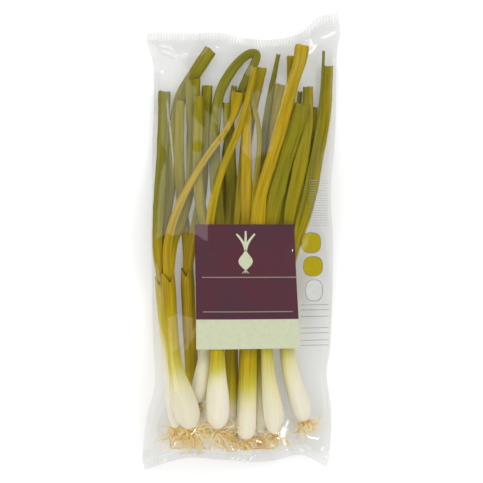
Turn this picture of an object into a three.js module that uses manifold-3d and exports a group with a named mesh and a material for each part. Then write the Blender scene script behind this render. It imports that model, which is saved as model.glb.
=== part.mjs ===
// Ten trimmed spring onions lying side by side in their clear film bag.
// Millimetres, +Z up. X runs across the bag, +Y towards the leaf tips, and the bag lies on z = 0.
import * as THREE from 'three';
import { mergeVertices } from 'three/addons/utils/BufferGeometryUtils.js';
import Module from 'manifold-3d';

const wasm = await Module();
wasm.setup();

// Film bag
const FILM = 0.6; // wall
const SEAL_BAND = 5; // welded strip at both ends
const SEAL_HEIGHT = 4; // height of the welded strips above the table
const SEAL_TAPER = 26; // length over which the back film rises to a welded strip
const SEAL_REACH = 142; // distance of the welded strips from the middle of the bag
const FOLD_AT_BULBS = 8; // height of the folded long edges beside the bulbs
const FOLD_AT_LEAVES = 4; // and beside the leaves
const BULB_END = -120;
const LEAF_END = 20;
const FOLD_RISE = 9; // width over which the back film rises to a folded edge
const REST_PLACES = [[-39.75, -103.52], [39.13, -100.58], [4.47, 93.61]]; // grid nodes that the bag rests on
const REST_LIFT = 0.3; // height of the back film between those places
const REST_SPREAD = 16; // length over which it lifts off them
const FRONT_WALL = 0.7; // front film, measured straight up through its slopes
const FOLD_INSET = 0.8;
const FOLD_HALF = 0.9; // half the closed edge's thickness
const SLIT_HALF = 0.15; // half the least opening between the two films
const BAG_COLUMNS = 14;
const BAG_LENGTH = 306;
const EDGE_STEPS = 80;
const COVER_SHARE = 0.62; // how far round a grid point the contents hold the film up, in grid steps
const COVER_GAP = 0.2;
const STRETCH_PASSES = 300;
const BAG_ROWS = 24;
const END_CROWDING = 0.7; // how much closer the rows lie near the welded ends
const VENT_CENTRE = [-30.3, 65.9];
const VENT_RADIUS = 4;
const VENT_SIDES = 16;
const VENT_CUT = [12, 60]; // heights between which the vent is cut, so that only the front film is open
const BAG_LEFT = [
  [-68, -160], [-69, -149], [-65.5, -118], [-61, -103], [-62, -60], [-63, 0], [-62.5, 60], [-62, 125],
  [-66.5, 141], [-66, 146.5],
];
const BAG_RIGHT = [
  [60, -158], [62, -140], [62.5, -118], [59.5, -92], [62, -73], [64, 0], [62.5, 35], [65.5, 73], [67, 134],
  [69.15, 148], [66.5, 160],
];
const BAG_BOTTOM = [
  [-68, -160], [-40, -151.5], [-16.5, -152.5], [5, -154], [22, -153.5], [41.5, -149.5], [60, -158],
];
const BAG_TOP = [
  [-66, 146.5], [-40, 145.5], [-14, 146], [2.5, 142], [22, 141.5], [40.5, 145.5], [52, 156], [66.5, 160],
];

// Clear space between neighbours, and how stiffly a strand arches over what it lies on
const GAP = 0.4;
const ARCH_RADIUS = 90;
const SETTLE_SPAN = 16; // length over which a strand's height is evened out
const SAMPLE_STEP = 2.5;

// Onions
const STEM_SIDES = 10;
const LEAF_SIDES = 8;
const PLATE_SIDES = 6;
const WISP_SIDES = 6;
const WISP_WIDTH = 4.5; // leaves narrower than this are wisps
const STEM_RING_STEP = 12;
const LEAF_RING_STEP = 12;
const STEM_FLATNESS = 0.92; // thickness over width
const LEAF_FLATNESS = 0.5;
const LEAF_MAX_THICKNESS = 4;
const LEAF_ROOT_DEPTH = 9; // how far a leaf is sunk in the stem that it grows from
const LEAF_BLEND = 30; // length over which a leaf leaves its stem's height
const HOLLOW_DEPTH = 5; // open cut end of a leaf
const HOLLOW_SHARE = 0.66; // hollow's width over the leaf's
const BULB_PEAK = 13; // widest place of a bulb, from its base
const BULB_BELOW = 15; // spread of the swelling towards the roots
const BULB_ABOVE = 24; // spread of the swelling towards the leaves
const BASE_ROUNDING = 8;
const SHEATH_NOTCH = 5; // dip of the sheath's edge where the leaves come out

// Roots
const PLATE_THICKNESS = 1.6;
const PLATE_SHARE = 0.8; // root plate's radius over the bulb's base
const HAIR_COUNT = 12;
const HAIR_RADIUS = 0.55;
const HAIR_SIDES = 3;
const HAIR_SAG = 4;
const HAIR_SHORTEST = 0.65; // shortest hair over the longest
const HAIR_VARIETY = 2.3;
const HAIR_THINNING = 0.45;
const HAIR_STEPS = 3;
const HAIR_COVER = 4; // room that the bag leaves round the hairs
const GOLDEN_ANGLE = Math.PI * (3 - Math.sqrt(5));

// Layout. Each onion has its stem's centre line from base to neck, its widths, and its leaves. A leaf's
// layer says when it was laid down: low numbers lie underneath. Widths are spread evenly from end to end.
const ONIONS = {
  '01': {
    layer: 2, bulb: 9, shaft: 7.5, neck: 8.5, tuft: [4, 13],
    stem: [[-45.5, -130], [-48.5, -112], [-51.5, -76], [-54.5, -50], [-57, -24]],
    leaves: [
      {
        layer: 12, widths: [6, 7, 8, 8, 8.5],
        path: [[-58, -5], [-57.5, 22], [-56, 50], [-54.5, 80], [-54, 105]],
      },
      {
        layer: 11, cut: -0.1, widths: [5, 7, 7.5, 8, 9, 9.3],
        path: [[-55.5, -4], [-52, 22], [-48.5, 50], [-47, 80], [-42, 102], [-33.6, 116], [-21.5, 134]],
      },
    ],
  },
  '02': {
    layer: 6, bulb: 18, shaft: 7.5, neck: 10, tuft: [6, 13],
    stem: [[-34.5, -127.8], [-37, -119], [-40.6, -105.5], [-45, -88.5], [-49, -56], [-51, -22]],
    leaves: [
      {
        layer: 14, widths: [6, 7, 7.5, 9, 10.8],
        path: [[-47, 0], [-40, 20], [-35.5, 42], [-34, 75], [-34, 113]],
      },
      {
        layer: 33, widths: [7, 6.5, 6, 5, 4.5, 4, 9],
        path: [[-51, -3], [-43, 25], [-29, 51], [-20.5, 64], [-10.5, 78], [-5, 89], [-2.5, 104]],
      },
    ],
  },
  '03': {
    layer: 1, bulb: 12, shaft: 8.4, neck: 9.8, tuft: [5, 14],
    stem: [[-31.5, -129], [-33.5, -105], [-35.5, -76], [-37, -45], [-38, -18]],
    leaves: [
      { layer: 13, path: [[-38.5, 4], [-42, 29], [-43.5, 60], [-43, 98]], widths: [6, 6.5, 7, 7, 6.5] },
      { layer: 15, path: [[-34, 2], [-28.5, 28], [-26.5, 57], [-24, 109]], widths: [6, 6.5, 7.5, 7.5, 7.5] },
    ],
  },
  '04': {
    layer: 5, bulb: 12.5, shaft: 8, neck: 10, tuft: [2, 8, 7],
    stem: [[-31, -111], [-28, -99], [-24, -79], [-20, -55], [-17, -24]],
    leaves: [
      { layer: 17, path: [[-11.5, -3], [-7, 22], [-8, 60], [-9.5, 97]], widths: [6, 8, 8.5, 8, 7.5] },
      {
        layer: 24, widths: [6, 7.5, 8, 8, 7.5, 7, 6, 6],
        path: [
          [-15, -2], [-18.5, 50], [-18.5, 80], [-15.2, 103], [-9, 116], [-2, 125.5], [5, 131], [10.5, 131.5],
          [9.8, 126], [4.5, 116], [-0.5, 104],
        ],
      },
    ],
  },
  '05': {
    layer: 7, bulb: 16.6, shaft: 9, neck: 10, tuft: [6, 13],
    stem: [[-16.5, -128.5], [-16.5, -105], [-16.5, -77], [-18, -50], [-20, -22]],
    leaves: [
      { layer: 24.5, path: [[-23, 0], [-29, 30], [-30.5, 60], [-30, 101]], widths: [6, 7, 7.5, 7, 7] },
      {
        layer: 32, widths: [6, 7, 6, 5, 5, 4.5, 4],
        path: [[-22, 0], [-20, 24], [-13, 50], [-3, 75], [4, 98], [9, 121]],
      },
    ],
  },
  '06': {
    layer: 3, bulb: 12, shaft: 8.4, neck: 9, tuft: [5, 14],
    stem: [[-6.5, -130], [-7, -100], [-7, -60], [-7, -21]],
    leaves: [
      {
        layer: 16, widths: [5, 6, 5.5, 4.5, 4.2],
        path: [[-8.5, 0], [-12, 25], [-12.5, 50], [-8, 85], [-5, 109]],
      },
      {
        layer: 23, cut: 0.2, widths: [5, 6, 7, 8.5, 8.5],
        path: [[-4, 0], [0, 40], [5, 82], [9.5, 104], [13.6, 121.5]],
      },
    ],
  },
  '07': {
    layer: 8, bulb: 13.4, shaft: 14.2, neck: 11, tuft: [4, 7],
    stem: [[3, -136.5], [3.5, -118], [4.5, -85], [5.5, -50], [6, -22]],
    leaves: [
      { layer: 26, path: [[4, 0], [3.5, 40], [3.5, 75], [4.5, 104]], widths: [7, 8.5, 8, 7, 7] },
      {
        layer: 27, widths: [4, 4, 4, 3.5, 3],
        path: [[8, 0], [9, 30], [11.5, 55], [12.5, 72], [11, 85], [8, 96], [5.5, 107]],
      },
      {
        layer: 31, widths: [5, 8, 10.5, 8.5, 8.3, 9, 8.8, 8.5, 10],
        path: [[10, 0], [13, 30], [21, 58], [28.5, 84], [35, 108], [40.5, 125], [42.3, 136.8]],
      },
    ],
  },
  '08': {
    layer: 4, bulb: 10, shaft: 7.5, neck: 9, tuft: [4, 9],
    stem: [[14, -136], [13.5, -115], [13.5, -85], [15, -50], [17, -9]],
    leaves: [
      { layer: 18, path: [[17.5, 8], [16.5, 30], [18, 60], [23, 86], [27, 110]], widths: [5, 6, 7, 8, 7] },
      { layer: 19, path: [[20, 8], [26, 35], [32, 68], [34.5, 100], [34.5, 129.6]], widths: [5, 6, 6, 6, 6] },
      {
        layer: 19.5, widths: [5, 5, 4.6, 4.6, 3],
        path: [[15, 8], [14, 28], [14.5, 60], [18.5, 93], [25.8, 131]],
      },
    ],
  },
  '09': {
    layer: 9, bulb: 14, shaft: 7.2, neck: 9.5, tuft: [4.5, 9],
    stem: [[23.4, -133], [22.4, -120], [20.2, -105.5], [18.3, -88], [17.4, -55], [18, -17]],
    leaves: [
      { layer: 20, path: [[23, 2], [31, 30], [37.5, 60], [41, 105]], widths: [6, 6, 5, 4, 3.2] },
      {
        layer: 28, widths: [6, 9, 11, 12, 11.5, 12, 9],
        path: [[18.5, 0], [22, 25], [28, 49], [34, 71], [38.5, 84], [41.5, 95]],
      },
    ],
  },
  '10': {
    layer: 10, bulb: 13.8, shaft: 9.6, neck: 11, tuft: [4, 9],
    stem: [[44, -124.8], [39.6, -109.5], [34.8, -93], [32, -75], [30.5, -50], [31.5, -20]],
    leaves: [
      { layer: 21, path: [[36.5, 0], [43, 25], [50, 68], [51.5, 94]], widths: [5, 5, 4.5, 4] },
      {
        layer: 22, widths: [6, 8, 10, 10, 8, 7],
        path: [[32, 0], [35, 25], [41, 55], [45.5, 82], [46.5, 108]],
      },
      {
        layer: 29, widths: [6, 7, 8, 8.5, 8.8, 8.2, 7.6],
        path: [[38, 0], [46, 25], [53, 60], [58.5, 90], [60.5, 123]],
      },
      { layer: 30, path: [[36, 2], [45.5, 42], [53, 80], [56, 105], [57.5, 133]], widths: [3.5, 3, 2.5, 2] },
    ],
  },
};

const LEAF_COLOURS = [0x8f8a22, 0xa39a2a, 0x8a8530, 0xb39b1c, 0x9c9434];

// Small helpers
const clamp = (value, low, high) => Math.min(high, Math.max(low, value));
const lerp = (from, to, share) => from + (to - from) * share;
const smooth = (share) => share * share * (3 - 2 * share);
const sum = (values) => values.reduce((total, value) => total + value, 0);

// Makes a closed solid of a geometry whose seams and poles still hold doubled points
function solidOf(geometry) {
  geometry.deleteAttribute('normal');
  geometry.deleteAttribute('uv');
  const merged = mergeVertices(geometry, 1e-4);
  const corners = merged.index.array;
  const triangles = [];
  for (let i = 0; i < corners.length; i += 3) {
    const [a, b, c] = corners.slice(i, i + 3);
    if (a !== b && b !== c && c !== a) triangles.push(a, b, c);
  }
  return new wasm.Manifold(new wasm.Mesh({
    numProp: 3,
    vertProperties: Float32Array.from(merged.attributes.position.array),
    triVerts: Uint32Array.from(triangles),
  }));
}

function geometryOf(solid) {
  const mesh = solid.getMesh();
  const geometry = new THREE.BufferGeometry();
  geometry.setAttribute('position', new THREE.BufferAttribute(Float32Array.from(mesh.vertProperties), 3));
  geometry.setIndex(new THREE.BufferAttribute(Uint32Array.from(mesh.triVerts), 1));
  geometry.computeVertexNormals();
  return geometry;
}

function joined(solids) {
  return solids.reduce((whole, solid) => whole.add(solid));
}

// Bag outline: a patch between its four edges
const flat = ([x, y]) => new THREE.Vector3(x, y, 0);
const edgeCurve = (points) => new THREE.CatmullRomCurve3(points.map(flat));
const leftEdge = edgeCurve(BAG_LEFT);
const rightEdge = edgeCurve(BAG_RIGHT);
const bottomEdge = edgeCurve(BAG_BOTTOM);
const topEdge = edgeCurve(BAG_TOP);

function bagPoint(across, along) {
  const left = leftEdge.getPointAt(along);
  const right = rightEdge.getPointAt(along);
  const bottom = bottomEdge.getPointAt(across);
  const top = topEdge.getPointAt(across);
  const sides = left.multiplyScalar(1 - across).add(right.multiplyScalar(across));
  const ends = bottom.multiplyScalar(1 - along).add(top.multiplyScalar(along));
  const low = flat(BAG_LEFT[0]).lerp(flat(BAG_RIGHT[0]), across);
  const high = flat(BAG_LEFT.at(-1)).lerp(flat(BAG_RIGHT.at(-1)), across);
  return sides.add(ends).sub(low.lerp(high, along));
}

// The two long edges' X at a given Y
const edgeRows = [...Array(EDGE_STEPS + 1).keys()]
  .map((i) => [leftEdge.getPointAt(i / EDGE_STEPS), rightEdge.getPointAt(i / EDGE_STEPS)]);

function edgeAt(side, y) {
  const above = edgeRows.findIndex((row) => row[side].y > y);
  if (above === 0) return edgeRows[0][side].x;
  if (above < 0) return edgeRows.at(-1)[side].x;
  const [from, to] = [edgeRows[above - 1][side], edgeRows[above][side]];
  return lerp(from.x, to.x, (y - from.y) / (to.y - from.y));
}

function foldHeight(y) {
  const share = clamp((y - BULB_END) / (LEAF_END - BULB_END), 0, 1);
  return lerp(FOLD_AT_BULBS, FOLD_AT_LEAVES, smooth(share));
}

// Height of the bag's outer underside, which stands on three places and curls up to the folds and welded ends
function undersideAt(x, y) {
  const toFold = Math.min(x - edgeAt(0, y), edgeAt(1, y) - x);
  const fold = clamp(1 - toFold / FOLD_RISE, 0, 1);
  const end = clamp((Math.abs(y) - SEAL_REACH + SEAL_TAPER) / SEAL_TAPER, 0, 1);
  const foldLift = (foldHeight(y) - FOLD_HALF) * (1 - Math.sqrt(1 - fold * fold));
  const endLift = (SEAL_HEIGHT - FILM) * smooth(end);
  const apart = Math.min(...REST_PLACES.map(([restX, restY]) => Math.hypot(x - restX, y - restY)));
  const restLift = REST_LIFT * smooth(clamp(apart / REST_SPREAD, 0, 1));
  return Math.max(foldLift, endLift, restLift);
}

// Strands
function widthOfStem(onion, s, length) {
  const shaft = lerp(onion.shaft, onion.neck, smooth(s / length));
  const spread = s < BULB_PEAK ? BULB_BELOW : BULB_ABOVE;
  const swelling = (onion.bulb - onion.shaft) * Math.exp(-(((s - BULB_PEAK) / spread) ** 2));
  const rounding = clamp(1 - s / BASE_ROUNDING, 0, 1);
  return (shaft + swelling) * Math.sqrt(1 - 0.72 * rounding * rounding);
}

function spreadEvenly(values, share) {
  const place = clamp(share, 0, 1) * (values.length - 1);
  const index = Math.min(Math.floor(place), values.length - 2);
  return lerp(values[index], values[index + 1], smooth(place - index));
}

function sampleStrand(points, widthAt, thicknessOf) {
  const curve = new THREE.CatmullRomCurve3(points.map(flat), false, 'centripetal');
  const length = curve.getLength();
  const count = Math.round(length / SAMPLE_STEP);
  return curve.getSpacedPoints(count).map((point, i) => {
    const s = (length * i) / count;
    const width = widthAt(s, length);
    return { s, x: point.x, y: point.y, a: width / 2, b: thicknessOf(width) / 2, z: 0 };
  });
}

// Lowest height that a sample can take over the bag's underside and the strands already laid
function lowestHeight(sample, laid) {
  let height = 0;
  for (const share of [-1, -0.7, 0, 0.7, 1]) {
    const drop = sample.b * Math.sqrt(1 - share * share);
    height = Math.max(height, undersideAt(sample.x + share * sample.a, sample.y) + FILM + GAP + drop);
  }
  for (const other of laid) {
    const reach = sample.a + other.a + GAP;
    const nearness = 1 - ((sample.x - other.x) ** 2 + (sample.y - other.y) ** 2) / reach ** 2;
    if (nearness > 0) height = Math.max(height, other.z + (sample.b + other.b + GAP) * Math.sqrt(nearness));
  }
  return height;
}

// Lays a strand over the others: it arches off each support and its height is evened out
function settle(samples, laid, start) {
  const lowest = samples.map((sample) => lowestHeight(sample, laid));
  const arched = samples.map((sample) => Math.max(...samples.map(
    (support, j) => lowest[j] - (sample.s - support.s) ** 2 / (2 * ARCH_RADIUS))));
  const reach = Math.round(SETTLE_SPAN / 2 / SAMPLE_STEP);
  samples.forEach((sample, i) => {
    const near = arched.slice(Math.max(0, i - reach), i + reach + 1);
    const height = Math.max(lowest[i], sum(near) / near.length);
    const free = smooth(clamp(sample.s / LEAF_BLEND, 0, 1));
    sample.z = lerp(start ?? height, height, free);
  });
  laid.push(...samples);
}

function layOut() {
  const strands = [];
  for (const [name, onion] of Object.entries(ONIONS)) {
    const stem = { name, onion, layer: onion.layer, kind: 'stem' };
    const stemWidth = (s, length) => widthOfStem(onion, s, length);
    stem.samples = sampleStrand(onion.stem, stemWidth, (width) => width * STEM_FLATNESS);
    strands.push(stem);
    for (const leaf of onion.leaves) {
      const foot = stem.samples.find((sample) => sample.s > stem.samples.at(-1).s - LEAF_ROOT_DEPTH);
      const points = [[foot.x, foot.y], ...leaf.path];
      const widthAt = (s, length) => spreadEvenly(leaf.widths, s / length);
      const thicknessOf = (width) => Math.min(width * LEAF_FLATNESS, LEAF_MAX_THICKNESS);
      const samples = sampleStrand(points, widthAt, thicknessOf);
      strands.push({ name, layer: leaf.layer, kind: 'leaf', cut: leaf.cut ?? 0, foot, samples });
    }
  }
  const laid = [];
  for (const strand of strands.toSorted((one, other) => one.layer - other.layer)) {
    settle(strand.samples, laid, strand.foot?.z);
  }
  return { strands, laid };
}

// Ring places along a strand, in whole samples, close together where it swells or is cut
function ringPlaces(count, step, extra) {
  const stride = Math.round(step / SAMPLE_STEP);
  const places = new Set([0, count, ...extra]);
  for (let i = stride; i < count - 1; i += stride) places.add(i);
  return [...places].sort((one, other) => one - other);
}

// Bends a straight lathed body along a strand. The body's height counts samples, its radius is a share of
// the strand's half width and half thickness there.
function bend(profile, sides, samples, shift) {
  const outline = profile.map(([radius, place]) => new THREE.Vector2(radius, place));
  const body = new THREE.LatheGeometry(outline, sides);
  const spine = samples.map((sample) => new THREE.Vector3(sample.x, sample.y, sample.z));
  const position = body.attributes.position;
  const up = new THREE.Vector3(0, 0, 1);
  for (let i = 0; i < position.count; i++) {
    const [across, place, rise] = [position.getX(i), position.getY(i), position.getZ(i)];
    const index = clamp(Math.round(place), 0, samples.length - 1);
    const [before, after] = [spine[Math.max(index - 1, 0)], spine[Math.min(index + 1, spine.length - 1)]];
    const along = after.clone().sub(before).normalize();
    const side = along.clone().cross(up).normalize();
    const over = side.clone().cross(along);
    const point = spine[index].clone()
      .addScaledVector(side, across * samples[index].a)
      .addScaledVector(over, rise * samples[index].b)
      .addScaledVector(along, shift(across, rise, index, samples) + (place - index) * SAMPLE_STEP);
    position.setXYZ(i, point.x, point.y, point.z);
  }
  return solidOf(body);
}

function stemSolid(samples) {
  const last = samples.length - 1;
  const places = ringPlaces(last, STEM_RING_STEP, [1, 2, 4, 7]);
  const profile = [[0, 0], ...places.map((place) => [1, place]), [0, last]];
  const notch = (across, rise, index) => (index === last ? -SHEATH_NOTCH * (1 - Math.abs(across)) : 0);
  return bend(profile, STEM_SIDES, samples, notch);
}

function leafSolid(samples, cut) {
  const last = samples.length - 1;
  const depth = HOLLOW_DEPTH / SAMPLE_STEP;
  const places = ringPlaces(last, LEAF_RING_STEP, [last - depth]);
  const hollow = [[HOLLOW_SHARE, last], [HOLLOW_SHARE * 0.9, last - depth], [0, last - depth]];
  const profile = [[0, 0], ...places.map((place) => [1, place]), ...hollow];
  const sides = samples[last].a * 2 < WISP_WIDTH ? WISP_SIDES : LEAF_SIDES;
  const slant = (across, rise, index) => (index > last - 2 ? cut * across * samples[last].a : 0);
  return bend(profile, sides, samples, slant);
}

function strandSolid({ kind, samples, cut }) {
  return kind === 'stem' ? stemSolid(samples) : leafSolid(samples, cut);
}

// Roots: a plate under the bulb with hairs that spread, thin out and sag
function rootSolid(stem, [spread, length, lean = 0]) {
  const [base, next] = stem.samples;
  const away = new THREE.Vector3(base.x - next.x, base.y - next.y, 0).normalize();
  const up = new THREE.Vector3(0, 0, 1);
  const side = away.clone().cross(up);
  const radius = Math.min(base.a, base.b) * PLATE_SHARE;
  const origin = new THREE.Vector3(base.x, base.y, base.z).addScaledVector(away, GAP);
  const plate = new THREE.CylinderGeometry(radius * 0.8, radius, PLATE_THICKNESS, PLATE_SIDES);
  plate.translate(0, PLATE_THICKNESS / 2, 0);
  plate.applyMatrix4(new THREE.Matrix4().makeBasis(side, away, up).setPosition(origin));
  const hairs = [...Array(HAIR_COUNT).keys()].map((i) => {
    const turn = i * GOLDEN_ANGLE;
    const share = Math.sqrt((i + 0.5) / HAIR_COUNT);
    const reach = length * (HAIR_SHORTEST + (1 - HAIR_SHORTEST) * Math.cos(i * HAIR_VARIETY) ** 2);
    const samples = [];
    for (let j = 0; j <= HAIR_STEPS; j++) {
      const along = j / HAIR_STEPS;
      const out = share * (radius * 0.72 + spread * smooth(along) * 0.8);
      const point = origin.clone()
        .addScaledVector(side, Math.cos(turn) * out - lean * along)
        .addScaledVector(away, PLATE_THICKNESS * 0.4 + reach * along);
      const thin = HAIR_RADIUS * (1 - HAIR_THINNING * along);
      const floor = undersideAt(point.x, point.y) + FILM + GAP + thin;
      const height = Math.max(floor, base.z + Math.sin(turn) * out * 0.9 - along * along * HAIR_SAG);
      samples.push({ x: point.x, y: point.y, z: height, a: thin, b: thin, s: 0 });
    }
    return samples;
  });
  const profile = [[0, 0], ...[...Array(HAIR_STEPS + 1).keys()].map((j) => [1, j]), [0, HAIR_STEPS]];
  const solids = hairs.map((samples) => bend(profile, HAIR_SIDES, samples, () => 0));
  const widened = (hair) => ({ ...hair, a: hair.a + HAIR_COVER, b: hair.b + HAIR_COVER / 4 });
  const cover = hairs.flat().map(widened);
  return { solid: joined([solidOf(plate), ...solids]), cover };
}

// Bag: the outer skin lies over the contents like a stretched sheet, the inner skin one wall inside it
const columnShare = (i) => 0.5 + 0.5 * Math.sin(((2 * i) / BAG_COLUMNS - 1) * Math.PI / 2);

function rowShare(j) {
  const band = SEAL_BAND / BAG_LENGTH;
  if (j === 0) return 0;
  if (j === BAG_ROWS) return 1;
  const even = (j - 1) / (BAG_ROWS - 2);
  const crowded = 0.5 - 0.5 * Math.cos(even * Math.PI);
  return lerp(band, 1 - band, lerp(even, crowded, END_CROWDING));
}

function bagGrid(laid) {
  const grid = [];
  for (let j = 0; j <= BAG_ROWS; j++) {
    const row = [];
    for (let i = 0; i <= BAG_COLUMNS; i++) {
      const { x, y } = bagPoint(columnShare(i), rowShare(j));
      const welded = j < 2 || j > BAG_ROWS - 2;
      const folded = i === 0 || i === BAG_COLUMNS;
      row.push({ x, y, welded, folded, low: undersideAt(x, y), high: 0, least: 0 });
    }
    grid.push(row);
  }
  grid.forEach((row, j) => row.forEach((node, i) => {
    if (node.welded || node.folded) {
      const middle = node.welded ? SEAL_HEIGHT : foldHeight(node.y);
      const half = node.welded ? FILM : FOLD_HALF;
      node.low = middle - half;
      node.high = middle + half;
      return;
    }
    const reachX = COVER_SHARE * Math.max(row[i + 1].x - node.x, node.x - row[i - 1].x);
    const reachY = COVER_SHARE * (grid[j + 1][i].y - node.y);
    node.least = node.low + 2 * FILM;
    for (const sample of laid) {
      const dx = Math.max(0, Math.abs(sample.x - node.x) - reachX);
      const dy = Math.max(0, Math.abs(sample.y - node.y) - reachY);
      const nearness = 1 - (dx * dx + dy * dy) / (sample.a + GAP) ** 2;
      const rise = (sample.b + GAP) * Math.sqrt(Math.max(0, nearness)) + FILM + COVER_GAP;
      if (nearness > 0) node.least = Math.max(node.least, sample.z + rise);
    }
    node.high = node.least;
  }));
  stretch(grid);
  return grid;
}

// Pulls the front film tight over what holds it up
function stretch(grid) {
  for (let pass = 0; pass < STRETCH_PASSES; pass++) {
    for (let j = 2; j < BAG_ROWS - 1; j++) {
      for (let i = 1; i < BAG_COLUMNS; i++) {
        const node = grid[j][i];
        const [west, east] = [grid[j][i - 1], grid[j][i + 1]];
        const [south, north] = [grid[j - 1][i], grid[j + 1][i]];
        const acrossShare = (node.x - west.x) / (east.x - west.x);
        const alongShare = (node.y - south.y) / (north.y - south.y);
        const across = lerp(west.high, east.high, acrossShare);
        const along = lerp(south.high, north.high, alongShare);
        const stiffness = ((north.y - south.y) / (east.x - west.x)) ** 2;
        node.high = Math.max(node.least, (across * stiffness + along) / (stiffness + 1));
      }
    }
  }
}

// A closed skin from a box whose top and bottom follow the grid
function skinSolid(rows, place) {
  const [columns, lines] = [rows[0].length - 1, rows.length - 1];
  const box = new THREE.BoxGeometry(columns, lines, 2, columns, lines, 1);
  const position = box.attributes.position;
  for (let k = 0; k < position.count; k++) {
    const node = rows[Math.round(position.getY(k) + lines / 2)][Math.round(position.getX(k) + columns / 2)];
    position.setXYZ(k, ...place(node, position.getZ(k) > 0));
  }
  return solidOf(box);
}

function bagSolid(laid) {
  const grid = bagGrid(laid);
  const outer = skinSolid(grid, (node, upper) => [node.x, node.y, upper ? node.high : node.low]);
  const inner = skinSolid(grid.slice(1, -1), (node, upper) => {
    const middle = (node.low + node.high) / 2;
    const inset = node.folded ? -Math.sign(node.x) * FOLD_INSET : 0;
    const above = Math.max(node.high - FRONT_WALL, middle + SLIT_HALF);
    const below = Math.min(node.low + FILM, middle - SLIT_HALF);
    return [node.x + inset, node.y, upper ? above : below];
  });
  const [low, high] = VENT_CUT;
  const vent = new THREE.CylinderGeometry(VENT_RADIUS, VENT_RADIUS, high - low, VENT_SIDES);
  vent.rotateX(Math.PI / 2).translate(...VENT_CENTRE, (low + high) / 2);
  return outer.subtract(inner).subtract(solidOf(vent));
}

// Scene graph
const bunch = new THREE.Group();

function addMesh(name, solid, material) {
  const mesh = new THREE.Mesh(geometryOf(solid), new THREE.MeshStandardMaterial(material));
  mesh.name = name;
  bunch.add(mesh);
}

const { strands, laid } = layOut();
const rootCover = [];
Object.entries(ONIONS).forEach(([name, onion], index) => {
  const own = strands.filter((strand) => strand.name === name);
  const solids = own.map(strandSolid);
  const color = LEAF_COLOURS[index % LEAF_COLOURS.length];
  addMesh(`onion_${name}`, joined(solids), { color, roughness: 0.45, metalness: 0 });
  const roots = rootSolid(own[0], onion.tuft);
  rootCover.push(...roots.cover);
  addMesh(`roots_${name}`, roots.solid, { color: 0xd9b078, roughness: 0.8, metalness: 0 });
});
addMesh('bag_film', bagSolid([...laid, ...rootCover]), {
  color: 0xe9ebe8, roughness: 0.12, metalness: 0, transparent: true, opacity: 0.25,
});

export default bunch;
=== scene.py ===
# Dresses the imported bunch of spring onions: the onions, their roots, the film bag with its print,
# and the floor, light and camera. Lengths are millimetres, as in the part's source, until a mesh is made.
import math
import bpy
import numpy as np
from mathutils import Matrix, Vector


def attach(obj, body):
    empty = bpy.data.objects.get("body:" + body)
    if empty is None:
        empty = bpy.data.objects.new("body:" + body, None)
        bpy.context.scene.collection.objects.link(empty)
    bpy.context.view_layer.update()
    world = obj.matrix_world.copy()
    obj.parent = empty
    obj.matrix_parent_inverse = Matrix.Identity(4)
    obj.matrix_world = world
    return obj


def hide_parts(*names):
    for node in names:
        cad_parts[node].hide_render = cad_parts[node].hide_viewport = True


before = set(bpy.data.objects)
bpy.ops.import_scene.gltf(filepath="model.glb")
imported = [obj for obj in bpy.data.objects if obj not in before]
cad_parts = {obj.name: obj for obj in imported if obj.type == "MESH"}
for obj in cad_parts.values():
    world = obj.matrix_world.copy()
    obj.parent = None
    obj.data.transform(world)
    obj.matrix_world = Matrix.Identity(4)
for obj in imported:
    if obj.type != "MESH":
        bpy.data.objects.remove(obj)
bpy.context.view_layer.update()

MM = 0.001
SEED = 20

# Film bag, as in the part's source
FILM = 0.6
SEAL_BAND = 5
SEAL_HEIGHT = 4
SEAL_REACH = 142
SEAL_TAPER = 26
FOLD_AT_BULBS = 8
FOLD_AT_LEAVES = 4
BULB_END = -120
LEAF_END = 20
FOLD_RISE = 9
REST_PLACES = [(-39.75, -103.52), (39.13, -100.58), (4.47, 93.61)]
REST_LIFT = 0.3
REST_SPREAD = 16
FOLD_HALF = 0.9
BAG_LENGTH = 306
VENT_CENTRE = (-30.3, 65.9)
VENT_RADIUS = 4
VENT_SNAP = 0.12
BAG_LEFT = [
    (-68, -160), (-69, -149), (-65.5, -118), (-61, -103), (-62, -60), (-63, 0), (-62.5, 60), (-62, 125),
    (-66.5, 141), (-66, 146.5),
]
BAG_RIGHT = [
    (60, -158), (62, -140), (62.5, -118), (59.5, -92), (62, -73), (64, 0), (62.5, 35), (65.5, 73), (67, 134),
    (69.15, 148), (66.5, 160),
]
BAG_BOTTOM = [
    (-68, -160), (-40, -151.5), (-16.5, -152.5), (5, -154), (22, -153.5), (41.5, -149.5), (60, -158),
]
BAG_TOP = [
    (-66, 146.5), (-40, 145.5), (-14, 146), (2.5, 142), (22, 141.5), (40.5, 145.5), (52, 156), (66.5, 160),
]

# How strands lie on each other, as in the part's source
GAP = 0.4
ARCH_RADIUS = 90
SETTLE_SPAN = 16
SAMPLE_STEP = 2.5
STEM_FLATNESS = 0.92
LEAF_FLATNESS = 0.5
LEAF_MAX_THICKNESS = 4
LEAF_ROOT_DEPTH = 9
LEAF_BLEND = 30
BULB_PEAK = 13
BULB_BELOW = 15
BULB_ABOVE = 24
BASE_ROUNDING = 8

def leaf(layer, tone, widths, path, cut=0):
    return dict(layer=layer, tone=tone, widths=widths, path=path, cut=cut)


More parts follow.
